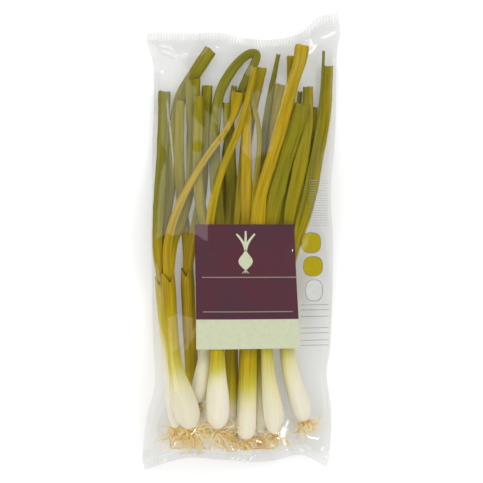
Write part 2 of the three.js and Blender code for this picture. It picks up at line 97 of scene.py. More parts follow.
# Layout of the onions, as in the part's source. White is the length of the white base and fade the length
# over which the green comes. Tuft is how long the root hairs are and how far they lean to the left. Tone is
# a leaf's colour, from 0 for golden to 1 for dull dark green.
ONIONS = {
    "01": dict(
        layer=2, bulb=9, shaft=7.5, neck=8.5, tuft=(13, 0), white=22, fade=75,
        stem=[(-45.5, -130), (-48.5, -112), (-51.5, -76), (-54.5, -50), (-57, -24)],
        leaves=[
            leaf(12, 0.76, (6, 7, 8, 8, 8.5), [(-58, -5), (-57.5, 22), (-56, 50), (-54.5, 80), (-54, 105)]),
            leaf(11, 0.62, (5, 7, 7.5, 8, 9, 9.3),
                 [(-55.5, -4), (-52, 22), (-48.5, 50), (-47, 80), (-42, 102), (-33.6, 116),
                  (-21.5, 134)], cut=-0.1)]),
    "02": dict(
        layer=6, bulb=18, shaft=7.5, neck=10, tuft=(13, 0), white=14, fade=58,
        stem=[(-34.5, -127.8), (-37, -119), (-40.6, -105.5), (-45, -88.5), (-49, -56), (-51, -22)],
        leaves=[
            leaf(14, 0.6, (6, 7, 7.5, 9, 10.8), [(-47, 0), (-40, 20), (-35.5, 42), (-34, 75), (-34, 113)]),
            leaf(33, 0.12, (7, 6.5, 6, 5, 4.5, 4, 9),
                 [(-51, -3), (-43, 25), (-29, 51), (-20.5, 64), (-10.5, 78), (-5, 89), (-2.5, 104)])]),
    "03": dict(
        layer=1, bulb=12, shaft=8.4, neck=9.8, tuft=(14, 0), white=8, fade=34,
        stem=[(-31.5, -129), (-33.5, -105), (-35.5, -76), (-37, -45), (-38, -18)],
        leaves=[
            leaf(13, 0.6, (6, 6.5, 7, 7, 6.5), [(-38.5, 4), (-42, 29), (-43.5, 60), (-43, 98)]),
            leaf(15, 0.6, (6, 6.5, 7.5, 7.5, 7.5), [(-34, 2), (-28.5, 28), (-26.5, 57), (-24, 109)])]),
    "04": dict(
        layer=5, bulb=12.5, shaft=8, neck=10, tuft=(8, 7), white=8, fade=110,
        stem=[(-31, -111), (-28, -99), (-24, -79), (-20, -55), (-17, -24)],
        leaves=[
            leaf(17, 0.55, (6, 8, 8.5, 8, 7.5), [(-11.5, -3), (-7, 22), (-8, 60), (-9.5, 97)]),
            leaf(24, 0.72, (6, 7.5, 8, 8, 7.5, 7, 6, 6),
                 [(-15, -2), (-18.5, 50), (-18.5, 80), (-15.2, 103), (-9, 116), (-2, 125.5), (5, 131),
                  (10.5, 131.5), (9.8, 126), (4.5, 116), (-0.5, 104)])]),
    "05": dict(
        layer=7, bulb=16.6, shaft=9, neck=10, tuft=(13, 0), white=24, fade=30,
        stem=[(-16.5, -128.5), (-16.5, -105), (-16.5, -77), (-18, -50), (-20, -22)],
        leaves=[
            leaf(24.5, 0.58, (6, 7, 7.5, 7, 7), [(-23, 0), (-29, 30), (-30.5, 60), (-30, 101)]),
            leaf(32, 0.22, (6, 7, 6, 5, 5, 4.5, 4),
                 [(-22, 0), (-20, 24), (-13, 50), (-3, 75), (4, 98), (9, 121)])]),
    "06": dict(
        layer=3, bulb=12, shaft=8.4, neck=9, tuft=(14, 0), white=4, fade=30,
        stem=[(-6.5, -130), (-7, -100), (-7, -60), (-7, -21)],
        leaves=[
            leaf(16, 0.5, (5, 6, 5.5, 4.5, 4.2), [(-8.5, 0), (-12, 25), (-12.5, 50), (-8, 85), (-5, 109)]),
            leaf(23, 0.3, (5, 6, 7, 8.5, 8.5),
                 [(-4, 0), (0, 40), (5, 82), (9.5, 104), (13.6, 121.5)], cut=0.2)]),
    "07": dict(
        layer=8, bulb=13.4, shaft=14.2, neck=11, tuft=(7, 0), white=12, fade=44,
        stem=[(3, -136.5), (3.5, -118), (4.5, -85), (5.5, -50), (6, -22)],
        leaves=[
            leaf(26, 0.02, (7, 8.5, 8, 7, 7), [(4, 0), (3.5, 40), (3.5, 75), (4.5, 104)]),
            leaf(27, 0.45, (4, 4, 4, 3.5, 3),
                 [(8, 0), (9, 30), (11.5, 55), (12.5, 72), (11, 85), (8, 96), (5.5, 107)]),
            leaf(31, 0.1, (5, 8, 10.5, 8.5, 8.3, 9, 8.8, 8.5, 10),
                 [(10, 0), (13, 30), (21, 58), (28.5, 84), (35, 108), (40.5, 125), (42.3, 136.8)])]),
    "08": dict(
        layer=4, bulb=10, shaft=7.5, neck=9, tuft=(9, 0), white=8, fade=60,
        stem=[(14, -136), (13.5, -115), (13.5, -85), (15, -50), (17, -9)],
        leaves=[
            leaf(18, 0.45, (5, 6, 7, 8, 7), [(17.5, 8), (16.5, 30), (18, 60), (23, 86), (27, 110)]),
            leaf(19, 0.4, (5, 6, 6, 6, 6), [(20, 8), (26, 35), (32, 68), (34.5, 100), (34.5, 129.6)]),
            leaf(19.5, 0.75, (5, 5, 4.6, 4.6, 3), [(15, 8), (14, 28), (14.5, 60), (18.5, 93), (25.8, 131)])]),
    "09": dict(
        layer=9, bulb=14, shaft=7.2, neck=9.5, tuft=(9, 0), white=8, fade=90,
        stem=[(23.4, -133), (22.4, -120), (20.2, -105.5), (18.3, -88), (17.4, -55), (18, -17)],
        leaves=[
            leaf(20, 0.7, (6, 6, 5, 4, 3.2), [(23, 2), (31, 30), (37.5, 60), (41, 105)]),
            leaf(28, 0.6, (6, 9, 11, 12, 11.5, 12, 9),
                 [(18.5, 0), (22, 25), (28, 49), (34, 71), (38.5, 84), (41.5, 95)])]),
    "10": dict(
        layer=10, bulb=13.8, shaft=9.6, neck=11, tuft=(9, 0), white=12, fade=80,
        stem=[(44, -124.8), (39.6, -109.5), (34.8, -93), (32, -75), (30.5, -50), (31.5, -20)],
        leaves=[
            leaf(21, 0.5, (5, 5, 4.5, 4), [(36.5, 0), (43, 25), (50, 68), (51.5, 94)]),
            leaf(22, 0.5, (6, 8, 10, 10, 8, 7), [(32, 0), (35, 25), (41, 55), (45.5, 82), (46.5, 108)]),
            leaf(29, 0.5, (6, 7, 8, 8.5, 8.8, 8.2, 7.6),
                 [(38, 0), (46, 25), (53, 60), (58.5, 90), (60.5, 123)]),
            leaf(30, 0.75, (3.5, 3, 2.5, 2), [(36, 2), (45.5, 42), (53, 80), (56, 105), (57.5, 133)])]),
}


# Small helpers
def clamp(value, low=0.0, high=1.0):
    return np.minimum(high, np.maximum(low, value))


def lerp(start, end, share):
    return start + (end - start) * share


def smooth(share):
    share = clamp(share)
    return share * share * (3 - 2 * share)


def wave(values, seed, octaves=3):
    """Smooth noise between about -1 and 1 along one number."""
    total = np.zeros_like(np.asarray(values, float))
    for k in range(octaves):
        total += math.pow(0.6, k) * np.sin(values * (1.7 ** k) * 2.1 + seed * (3.1 + k) + k * 1.3)
    return total / 2


def curve_points(points, steps=24):
    """A centripetal curve through the points, as many short steps."""
    p = [np.array(q, float) for q in points]
    p = [2 * p[0] - p[1], *p, 2 * p[-1] - p[-2]]
    out = [p[1]]
    for a, b, c, d in zip(p, p[1:], p[2:], p[3:]):
        da, db, dc = (math.sqrt(np.linalg.norm(v)) for v in (b - a, c - b, d - c))
        start = ((b - a) / da - (c - a) / (da + db) + (c - b) / db) * db
        end = ((c - b) / db - (d - b) / (db + dc) + (d - c) / dc) * db
        for k in range(1, steps + 1):
            t = k / steps
            out.append(b + start * t + (3 * (c - b) - 2 * start - end) * t ** 2
                       + (2 * (b - c) + start + end) * t ** 3)
    return np.array(out)


def evenly(points, step=None, count=None):
    """Points at even distances along a polyline, with their distances."""
    lengths = np.concatenate([[0], np.cumsum(np.linalg.norm(np.diff(points, axis=0), axis=1))])
    count = count or max(1, round(lengths[-1] / step))
    s = np.linspace(0, lengths[-1], count + 1)
    return s, np.array([np.interp(s, lengths, points[:, k]) for k in range(points.shape[1])]).T


# Bag outline: a patch between its four edges
LEFT_EDGE, RIGHT_EDGE, BOTTOM_EDGE, TOP_EDGE = (
    evenly(curve_points(edge), count=400)[1] for edge in (BAG_LEFT, BAG_RIGHT, BAG_BOTTOM, BAG_TOP))


def on_edge(edge, share):
    place = np.asarray(share) * (len(edge) - 1)
    return np.stack([np.interp(place, np.arange(len(edge)), edge[:, k]) for k in (0, 1)], -1)


def bag_point(across, along):
    u, v = across[..., None], along[..., None]
    sides = on_edge(LEFT_EDGE, along) * (1 - u) + on_edge(RIGHT_EDGE, along) * u
    ends = on_edge(BOTTOM_EDGE, across) * (1 - v) + on_edge(TOP_EDGE, across) * v
    low = lerp(np.array(BAG_LEFT[0]), np.array(BAG_RIGHT[0]), u)
    high = lerp(np.array(BAG_LEFT[-1]), np.array(BAG_RIGHT[-1]), u)
    return sides + ends - lerp(low, high, v)


def bag_shares(x, y):
    """Where a place lies across and along the bag: bag_point the other way round."""
    u = (x + 63) / 127
    v = (y + 153) / BAG_LENGTH
    for _ in range(12):
        miss = np.stack([x, y], -1) - bag_point(u, v)
        u = clamp(u + miss[..., 0] / 127)
        v = clamp(v + miss[..., 1] / BAG_LENGTH)
    return u, v


def fold_height(y):
    return lerp(FOLD_AT_BULBS, FOLD_AT_LEAVES, smooth((y - BULB_END) / (LEAF_END - BULB_END)))


def underside_at(x, y):
    left = np.interp(y, LEFT_EDGE[:, 1], LEFT_EDGE[:, 0])
    right = np.interp(y, RIGHT_EDGE[:, 1], RIGHT_EDGE[:, 0])
    fold = clamp(1 - np.minimum(x - left, right - x) / FOLD_RISE)
    end = (np.abs(y) - SEAL_REACH + SEAL_TAPER) / SEAL_TAPER
    fold_lift = (fold_height(y) - FOLD_HALF) * (1 - np.sqrt(1 - fold * fold))
    apart = np.minimum.reduce([np.hypot(x - rest_x, y - rest_y) for rest_x, rest_y in REST_PLACES])
    rest_lift = REST_LIFT * smooth(apart / REST_SPREAD)
    return np.maximum.reduce([fold_lift, (SEAL_HEIGHT - FILM) * smooth(end), rest_lift])


# Strands: where each stem and leaf lies
def width_of_stem(onion, s, length):
    shaft = lerp(onion["shaft"], onion["neck"], smooth(s / length))
    spread = np.where(s < BULB_PEAK, BULB_BELOW, BULB_ABOVE)
    swelling = (onion["bulb"] - onion["shaft"]) * np.exp(-(((s - BULB_PEAK) / spread) ** 2))
    rounding = clamp(1 - s / BASE_ROUNDING)
    return (shaft + swelling) * np.sqrt(1 - 0.72 * rounding ** 2)


def spread_evenly(values, share):
    place = clamp(share) * (len(values) - 1)
    index = np.minimum(np.floor(place), len(values) - 2).astype(int)
    values = np.array(values, float)
    return lerp(values[index], values[index + 1], smooth(place - index))


def sample_strand(points, width_at, thickness_of):
    s, xy = evenly(curve_points(points), SAMPLE_STEP)
    width = width_at(s, s[-1])
    return dict(s=s, x=xy[:, 0], y=xy[:, 1], a=width / 2, b=thickness_of(width) / 2, z=np.zeros_like(s))


def lowest_heights(strand, laid):
    height = np.zeros_like(strand["s"])
    for share in (-1, -0.7, 0, 0.7, 1):
        drop = strand["b"] * math.sqrt(1 - share * share)
        under = underside_at(strand["x"] + share * strand["a"], strand["y"])
        height = np.maximum(height, under + FILM + GAP + drop)
    for other in laid:
        reach = strand["a"][:, None] + other["a"] + GAP
        apart = (strand["x"][:, None] - other["x"]) ** 2 + (strand["y"][:, None] - other["y"]) ** 2
        nearness = 1 - apart / reach ** 2
        rise = other["z"] + (strand["b"][:, None] + other["b"] + GAP) * np.sqrt(np.maximum(nearness, 0))
        height = np.maximum(height, np.where(nearness > 0, rise, 0).max(axis=1))
    return height


def settle(strand, laid, start=None):
    """Lays a strand over the others: it arches off each support and its height is evened out."""
    lowest = lowest_heights(strand, laid)
    s = strand["s"]
    arched = (lowest[None, :] - (s[:, None] - s[None, :]) ** 2 / (2 * ARCH_RADIUS)).max(axis=1)
    reach = round(SETTLE_SPAN / 2 / SAMPLE_STEP)
    for i in range(len(s)):
        height = max(lowest[i], arched[max(0, i - reach):i + reach + 1].mean())
        free = float(smooth(s[i] / LEAF_BLEND))
        strand["z"][i] = lerp(height if start is None else start, height, free)
    laid.append(strand)


def lay_out():
    """All stems and leaves, laid on each other from the lowest layer up."""
    strands = []
    for name, onion in ONIONS.items():
        stem = sample_strand(onion["stem"], lambda s, length: width_of_stem(onion, s, length),
                             lambda width: width * STEM_FLATNESS)
        stem.update(name=name, layer=onion["layer"], kind="stem", foot=None, before=0.0)
        strands.append(stem)
        foot = int(np.argmax(stem["s"] > stem["s"][-1] - LEAF_ROOT_DEPTH))
        for blade in onion["leaves"]:
            points = [(stem["x"][foot], stem["y"][foot]), *blade["path"]]
            strand = sample_strand(points, lambda s, length: spread_evenly(blade["widths"], s / length),
                                   lambda width: np.minimum(width * LEAF_FLATNESS, LEAF_MAX_THICKNESS))
            strand.update(name=name, layer=blade["layer"], kind="leaf", foot=(stem, foot), tone=blade["tone"],
                          before=stem["s"][foot], cut=blade["cut"])
            strands.append(strand)
    laid = []
    for strand in sorted(strands, key=lambda one: one["layer"]):
        stem, foot = strand["foot"] or (None, 0)
        settle(strand, laid, stem["z"][foot] if stem else None)
    return strands


# Mesh building
def mesh_object(name, vertices, faces, material, uv=None, attributes=None):
    """A smooth-shaded object from places in millimetres, with its texture places and named values."""
    mesh = bpy.data.meshes.new(name)
    mesh.from_pydata([tuple(v) for v in np.asarray(vertices) * MM], [], faces)
    if uv is not None:
        layer = mesh.uv_layers.new(name="lie")
        corners = np.zeros(len(mesh.loops), dtype=int)
        mesh.loops.foreach_get("vertex_index", corners)
        layer.data.foreach_set("uv", np.asarray(uv, float)[corners].ravel())
    for key, values in (attributes or {}).items():
        attribute = mesh.attributes.new(key, "FLOAT", "POINT")
        attribute.data.foreach_set("value", np.asarray(values, float))
    mesh.polygons.foreach_set("use_smooth", [True] * len(mesh.polygons))
    mesh.materials.append(material)
    made = bpy.data.objects.new(name, mesh)
    bpy.context.scene.collection.objects.link(made)
    return made


def belongs(piece, slot, *nodes):
    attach(piece, "root")
    if nodes:
        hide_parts(*nodes)


def grid_faces(rows, columns, closed, start=0):
    faces = []
    for j in range(rows - 1):
        for i in range(columns if closed else columns - 1):
            a, b = start + j * columns + i, start + j * columns + (i + 1) % columns
            faces.append((a, b, b + columns, a + columns))
    return faces


class Body:
    """Collects the rings of several tubes into one mesh."""

    def __init__(self):
        self.vertices, self.faces, self.uv = [], [], []
        self.attributes = {"green": [], "shade": [], "inside": []}
        self.count = 0

    def tube(self, rings, uv, green, shade, inside):
        rows, columns = rings.shape[:2]
        self.faces += grid_faces(rows, columns, True, self.count)
        self.faces.append(tuple(self.count + i for i in reversed(range(columns))))
        last = self.count + (rows - 1) * columns
        self.faces.append(tuple(last + i for i in range(columns)))
        self.vertices.append(rings.reshape(-1, 3))
        self.uv.append(uv.reshape(-1, 2))
        for key, values in (("green", green), ("shade", shade), ("inside", inside)):
            self.attributes[key].append(np.broadcast_to(values, (rows, columns)).ravel())
        self.count += rows * columns

    def make(self, name, material):
        return mesh_object(name, np.concatenate(self.vertices), self.faces, material, np.concatenate(self.uv),
                           {key: np.concatenate(values) for key, values in self.attributes.items()})


def finer(strand, step):
    """The strand's samples at a finer step."""
    s = np.linspace(0, strand["s"][-1], round(strand["s"][-1] / step) + 1)
    return s, {key: np.interp(s, strand["s"], strand[key]) for key in "xyzab"}


def frames(at):
    spine = np.stack([at["x"], at["y"], at["z"]], -1)
    for _ in range(2):
        spine[1:-1] = (spine[:-2] + 2 * spine[1:-1] + spine[2:]) / 4
    along = np.gradient(spine, axis=0)
    along /= np.linalg.norm(along, axis=1)[:, None]
    side = np.cross(along, (0, 0, 1))
    side /= np.linalg.norm(side, axis=1)[:, None]
    return spine, along, side, np.cross(side, along)


def ring_points(frame_of, across, over, shift=0.0):
    spine, along, side, up = (part[:, None, :] for part in frame_of)
    return (spine + side * across[..., None] + up * over[..., None]
            + along * np.broadcast_to(shift, across.shape)[..., None])


LEAF_AROUND = 32
STEM_AROUND = 40
RING_STEP = 1.25
LEAF_WALL = 0.45
HOLLOW_DEPTH = 16
SHEATH_DEPTH = 5
SHEATH_NOTCH = 7
SHEATH_INNER = 0.93
CREASE_DEPTH = 0.16
CREASE_CHANGE = 0.14
CREASE_WIDTH = 0.33
LOBE = 0.05
ROLL = 0.22
RIB = 0.003
RIBS = 11
TEXTURE_SPAN = 10
UNDER_GREEN = 0.4
GOLDEN = 0.5
TURN_GOLDEN = 40
TURN_GREEN = 55


def greenness(onion, distance):
    """Place on the onion's colour ramp: 0 for the white base up to GOLDEN for the upper stem."""
    early = UNDER_GREEN * smooth((distance - onion["white"]) / onion["fade"])
    return early + (GOLDEN - UNDER_GREEN) * smooth((distance - onion["white"] - onion["fade"]) / TURN_GOLDEN)


def with_lining(values, back):
    """Values of the outer rings, then of the lining that leads back into the opening."""
    return np.concatenate([values, values[back][::-1]])


def texture_places(angle, radius, distance):
    return np.stack(np.broadcast_arrays(angle[None, :] * radius, distance[:, None]), -1) / TEXTURE_SPAN


def leaf_section(at, s, angle, seed):
    """A leaf's cross-section along its length: flattened, creased on top, uneven and a little rolled."""
    crease = (CREASE_DEPTH + CREASE_CHANGE * wave(s / 31, seed))[:, None] * smooth(s / 25)[:, None]
    lobe = 1 + LOBE * wave(s / 9, seed + 5)[:, None] * np.cos(2 * angle + seed)
    across = at["a"][:, None] * np.sign(np.cos(angle)) * np.abs(np.cos(angle)) ** 0.92 * lobe
    top = np.sign(np.sin(angle)) * np.abs(np.sin(angle)) ** 0.72
    dent = 1 - crease * np.exp(-((np.cos(angle) - 0.25 * np.sin(seed)) / CREASE_WIDTH) ** 2)
    over = at["b"][:, None] * 1.04 * top * np.where(top > 0, dent, 1 - 0.4 * (1 - dent))
    roll = (ROLL * wave(s / 45, seed + 9))[:, None] * smooth(s / 30)[:, None]
    return across * np.cos(roll) - over * np.sin(roll), across * np.sin(roll) + over * np.cos(roll)


def add_leaf(body, onion, strand, seed):
    """A hollow leaf: a soft flattened tube that is cut open at its end."""
    s, at = finer(strand, RING_STEP)
    angle = np.linspace(0, 2 * math.pi, LEAF_AROUND, endpoint=False)
    frame_of = frames(at)
    across, over = leaf_section(at, s, angle, seed)
    near_end = smooth((s - s[-1] + 8) / 8)[:, None]
    ragged = 0.35 * np.sin(angle * 2 + seed) + 0.2 * np.sin(angle * 5 + seed)
    slant = near_end * (strand["cut"] * across + ragged)
    outer = ring_points(frame_of, across, over, slant)
    total = strand["before"] + s
    uv = texture_places(angle, ((at["a"] + at["b"]) / 2).mean(), total)
    end_tone = GOLDEN + (1 - GOLDEN) * strand["tone"]
    green = lerp(greenness(onion, total), end_tone, smooth((s - 5) / TURN_GREEN))[:, None]
    green = green + 0.02 * np.cos(angle * 3 + seed)
    back = s > s[-1] - HOLLOW_DEPTH
    shrink = np.maximum(0.3, 1 - LEAF_WALL / np.maximum(at["b"], 0.6))[:, None]
    thin = np.maximum(0.4, 1 - LEAF_WALL / np.maximum(at["a"], 0.6))[:, None]
    inner = ring_points(frame_of, across * thin, over * shrink, slant)[back][::-1]
    inside = np.concatenate([np.zeros(len(s)), np.ones(back.sum())])[:, None]
    body.tube(np.concatenate([outer, inner]), with_lining(uv, back), with_lining(green, back),
              0.5 + 0.5 * math.sin(seed * 12.9), inside)


def add_stem(body, onion, strand, seed):
    """Bulb and shaft, with faint ribs, and a sheath edge that dips where the leaves come out."""
    s, at = finer(strand, RING_STEP)
    angle = np.linspace(0, 2 * math.pi, STEM_AROUND, endpoint=False)
    frame_of = frames(at)
    uneven = 1 + 0.035 * np.cos(2 * angle + seed * 2.3) * wave(s / 22, seed)[:, None]
    rib = 1 + RIB * np.cos(RIBS * angle + seed + 0.4 * wave(s / 30, seed)[:, None])
    hug = 1 - 0.1 * smooth((s - s[-1] + 12) / 12)[:, None]
    across = at["a"][:, None] * np.cos(angle) * uneven * rib * hug
    over = at["b"][:, None] * np.sin(angle) * uneven * rib * hug
    near_neck = smooth((s - s[-1] + 14) / 14)[:, None]
    notch = -near_neck * SHEATH_NOTCH * (1 - np.abs(np.cos(angle - 0.25 * math.sin(seed)))) ** 1.3
    outer = ring_points(frame_of, across, over, notch)
    back = s > s[-1] - SHEATH_DEPTH
    inner = ring_points(frame_of, across * SHEATH_INNER, over * SHEATH_INNER, notch)[back][::-1]
    uv = texture_places(angle, at["a"].mean(), s)
    green = greenness(onion, s)[:, None] + 0.03 * np.cos(angle + seed)
    body.tube(np.concatenate([outer, inner]), with_lining(uv, back), with_lining(green, back),
              0.5 + 0.5 * math.sin(seed * 7.7), 0.0)


def add_onions(strands, materials):
    """One piece an onion, with its stem and leaves."""
    for number, (name, onion) in enumerate(ONIONS.items()):
        body = Body()
        own = [strand for strand in strands if strand["name"] == name]
        for index, strand in enumerate(own):
            seed = number * 3.7 + index * 1.9 + 1
            if strand["kind"] == "stem":
                add_stem(body, onion, strand, seed)
            else:
                add_leaf(body, onion, strand, seed)
        piece = body.make(f"spring_onion_{name}", materials["onion"])
        belongs(piece, "onion", f"onion_{name}")


# Roots: tufts of curled hairs that run into each other
HAIRS_PER_TUFT = 52
HAIR_RADII = (0.2, 0.38)
STRAY_RADIUS = 0.3
HAIR_AROUND = 4
HAIR_POINTS = 16
ROOT_LIMIT = -145
PLATE_AROUND = 16
PLATE_RINGS = ((-0.6, 0.98), (0.3, 1.0), (1.1, 0.86), (1.9, 0.5))
PLATE_SHADE = 0.1
UP = np.array((0, 0, 1))
STRAY_HAIRS = [
    [(-46.5, -131, 6), (-53, -135.5, 6), (-59.5, -137, 7)],
    [(-44, -137, 5), (-46, -141.5, 4.5), (-51.5, -142.6, 5)],
    [(47, -127, 9), (51, -130, 9), (56.5, -129, 9)],
    [(46, -129, 8), (50, -133, 8), (54, -132.5, 8)],
    [(4, -138, 9), (3.5, -142, 8), (4.5, -145.5, 7)],
]


def hair_rings(points, radii):
    along = np.gradient(points, axis=0)
    along /= np.linalg.norm(along, axis=1)[:, None] + 1e-9
    side = np.cross(along, (0.13, 0.2, 0.97))
    side /= np.linalg.norm(side, axis=1)[:, None] + 1e-9
    up = np.cross(side, along)
    angle = np.linspace(0, 2 * math.pi, HAIR_AROUND, endpoint=False)
    return (points[:, None, :] + radii[:, None, None]
            * (side[:, None, :] * np.cos(angle)[:, None] + up[:, None, :] * np.sin(angle)[:, None]))


def add_hair(body, points, thick, shade):
    """One hair; returns what the film has to clear."""
    floor = underside_at(points[:, 0], points[:, 1]) + FILM + 0.3
    points[:, 2] = np.maximum(points[:, 2], floor)
    radii = thick * (1 - 0.55 * np.linspace(0, 1, len(points)) ** 1.5)
    blank = np.zeros((len(points), HAIR_AROUND, 2))
    body.tube(hair_rings(points, radii), blank, 0.0, shade, 0.0)
    return dict(x=points[:, 0], y=points[:, 1], z=points[:, 2], a=radii * 0 + 1.2, b=radii)


def tuft_hair(rng, base, heading, radius, length, lean):
    """A hair's path: it leaves the plate somewhere near the heading and curls as it goes."""
    reach = length * rng.uniform(0.7, 1.75)
    step = reach / (HAIR_POINTS - 1)
    turn = rng.uniform(-1.5, 1.5)
    curl = rng.normal(0, 1.9) - turn * 0.7
    phase, rate = rng.uniform(0, 6.3), rng.uniform(4, 9)
    t = np.linspace(0, 1, HAIR_POINTS)
    angle = heading + turn + curl * t + 0.75 * np.sin(rate * t + phase)
    steps = np.stack([np.cos(angle), np.sin(angle)], -1) * step
    start = base[:2] + radius * 0.8 * np.array([math.cos(heading + turn), math.sin(heading + turn)])
    flat = start + np.cumsum(steps, axis=0) - np.array([lean * 0.4, 0]) * t[:, None]
    past = ROOT_LIMIT - flat[:, 1]
    flat[:, 1] = np.where(past > 0, ROOT_LIMIT + past * 0.35, flat[:, 1])
    lift = rng.uniform(-0.7, 0.7) * radius * (1 - t) + rng.normal(0, 2.2) * t - 2.5 * t * t
    height = base[2] + lift + 0.5 * np.sin(rate * 1.3 * t + phase)
    return np.concatenate([flat, height[:, None]], axis=1)


def root_plate(base, away, side, radius):
    """Rings of the small lumpy plate under a bulb."""
    angle = np.linspace(0, 2 * math.pi, PLATE_AROUND, endpoint=False)
    rings = []
    for rise, size in PLATE_RINGS:
        lump = radius * size * (1 + 0.08 * np.cos(angle * 5 + rise))
        rings.append(base + away * rise + side * (lump * np.cos(angle))[:, None]
                     + UP * (lump * np.sin(angle))[:, None])
    return np.array(rings)


def stray_paths(stem, stems):
    """Paths of the long single hairs that start nearest to this stem."""
    paths = []
    for stray in STRAY_HAIRS:
        start_x, start_y, _ = stray[0]
        nearest = min(stems, key=lambda one: math.hypot(one["x"][0] - start_x, one["y"][0] - start_y))
        if nearest is stem:
            paths.append(evenly(curve_points(stray), count=HAIR_POINTS)[1])
    return paths


def add_tuft(stem, stems, rng, material):
    """One onion's root plate and hairs; returns what the film has to clear."""
    length, lean = ONIONS[stem["name"]]["tuft"]
    base = np.array([stem[k][0] for k in "xyz"])
    away = base - np.array([stem[k][1] for k in "xyz"])
    away[2] = 0
    away /= np.linalg.norm(away)
    radius = min(stem["a"][0], stem["b"][0]) * 0.85
    heading = math.atan2(away[1], away[0])
    body = Body()
    plate = root_plate(base, away, np.cross(away, UP), radius)
    body.tube(plate, np.zeros((*plate.shape[:2], 2)), 0.0, PLATE_SHADE, 0.0)
    covers = []
    for _ in range(HAIRS_PER_TUFT):
        points = tuft_hair(rng, base, heading, radius, length, lean)
        covers.append(add_hair(body, points, rng.uniform(*HAIR_RADII), rng.uniform()))
    for points in stray_paths(stem, stems):
        covers.append(add_hair(body, points, STRAY_RADIUS, 0.6))
    piece = body.make(f"root_hairs_{stem['name']}", material)
    belongs(piece, "roots", f"roots_{stem['name']}")
    return covers


def add_roots(strands, materials):
    rng = np.random.default_rng(SEED)
    stems = [strand for strand in strands if strand["kind"] == "stem"]
    return [cover for stem in stems for cover in add_tuft(stem, stems, rng, materials["roots"])]


# Film bag. A crease has a line, a height, a width and how far it is whitened; that whitening is a painted
# glint along the crease.
FRONT_GRID = (260, 330)
BACK_GRID = (90, 200)
RASTER = 0.75
EDGE_CROWDING = 0.86
FACETS = ((37, 0.9, 1.5, 0.62), (19, 0.35, 1.4, -0.5), (9, 0.08, 1.3, 0.2))
CREASES = [
    ([(55.4, 141.4), (61, 144), (66.5, 146.6)], 0.9, 1.0, 1.0),
    ([(48.4, 142.2), (47.6, 140.6), (49.2, 138.5), (47.6, 136.9), (51.6, 135.7), (49.2, 133), (47.3, 131.3),
      (49.2, 130.3)], 0.8, 1.0, 1.0),
    ([(30.6, -128), (28.6, -132), (28.6, -136)], 2.0, 2.6, 1.3),
    ([(32.4, -123.5), (30.6, -128)], 0.9, 1.0, 1.0),
    ([(28.6, -136), (30.7, -141.5)], 0.9, 1.1, 1.0),
    ([(-57.5, 134), (-50, 131), (-44, 129.5), (-37, 131.5)], -0.45, 1.6, 0.3),
    ([(-58, 137), (-52, 136), (-47, 133)], -0.4, 1.5, 0.3),
    ([(-57, 118.5), (-53.5, 118.5)], 0.6, 0.9, 0.8),
    ([(-52, 99), (-49, 72), (-47, 50)], 0.3, 0.9, 0.3),
    ([(-8, -153.5), (-5, -150.5)], 0.6, 0.9, 0.9), ([(-4, -154), (-1.5, -150.5)], 0.7, 0.9, 0.9),
    ([(0.5, -154.5), (2.5, -151)], 0.6, 0.9, 0.9), ([(5.5, -153.5), (8, -150)], 0.5, 0.9, 0.9),
    ([(-54.2, -156), (-53.4, -151)], 0.6, 0.9, 0.9),
    ([(41, -147.5), (43, -145)], 0.5, 0.9, 0.9),
    ([(55, -146), (57.5, -143)], 0.5, 0.9, 0.7), ([(58.6, -152.5), (59.8, -148)], 0.5, 0.9, 0.9),
]
SHARPEST = 1.05
SEAL_RIDGE = 2.1
SEAL_RELIEF = 0.22
# How white the crimped welds are below and above: partly frost, partly painted sheen, as the whitening
# follows the ridge crests.
SEAL_FROST_AND_SHEEN = (0.18, 0.34)
SEAL_SHARE = SEAL_BAND / BAG_LENGTH
FACET_FADE = 0.05
RELAXING = ((4, 320), (2, 160), (1, 90))
LEAST_ROOM = 0.5
FILM_APART = 0.08


def raster_of(strands):
    """Height of the contents' upper side on a raster."""
    x = np.arange(-72, 72, RASTER)
    y = np.arange(-164, 164, RASTER)
    height = np.full((len(y), len(x)), -50.0)
    for strand in strands:
        for sx, sy, sz, a, b in zip(*(strand[key] for key in "xyzab")):
            reach = a + GAP
            i0, i1 = np.searchsorted(x, (sx - reach, sx + reach))
            j0, j1 = np.searchsorted(y, (sy - reach, sy + reach))
            near = 1 - ((x[i0:i1] - sx) ** 2 + (y[j0:j1, None] - sy) ** 2) / reach ** 2
            top = sz + (b + GAP) * np.sqrt(np.maximum(near, 0))
            patch = height[j0:j1, i0:i1]
            np.maximum(patch, np.where(near > 0, top, -50), out=patch)
    return x, y, height


def sample_raster(raster, x, y):
    xs, ys, height = raster
    i = clamp((x - xs[0]) / RASTER, 0, len(xs) - 1.001)
    j = clamp((y - ys[0]) / RASTER, 0, len(ys) - 1.001)
    i0, j0 = i.astype(int), j.astype(int)
    around = [height[j0 + dj, i0 + di] for dj in (0, 1) for di in (0, 1)]
    return np.maximum.reduce(around)


def stretch(high, least, x, y, pinned, passes):
    """Pulls the sheet taut over what it has to clear."""
    wx = ((y[2:, 1:-1] - y[:-2, 1:-1]) / (x[1:-1, 2:] - x[1:-1, :-2])) ** 2
    free = ~pinned[1:-1, 1:-1]
    for _ in range(passes):
        across = (high[1:-1, :-2] + high[1:-1, 2:]) / 2
        along = (high[:-2, 1:-1] + high[2:, 1:-1]) / 2
        pulled = np.maximum(least[1:-1, 1:-1], (across * wx + along) / (wx + 1))
        high[1:-1, 1:-1] = np.where(free, pulled, high[1:-1, 1:-1])


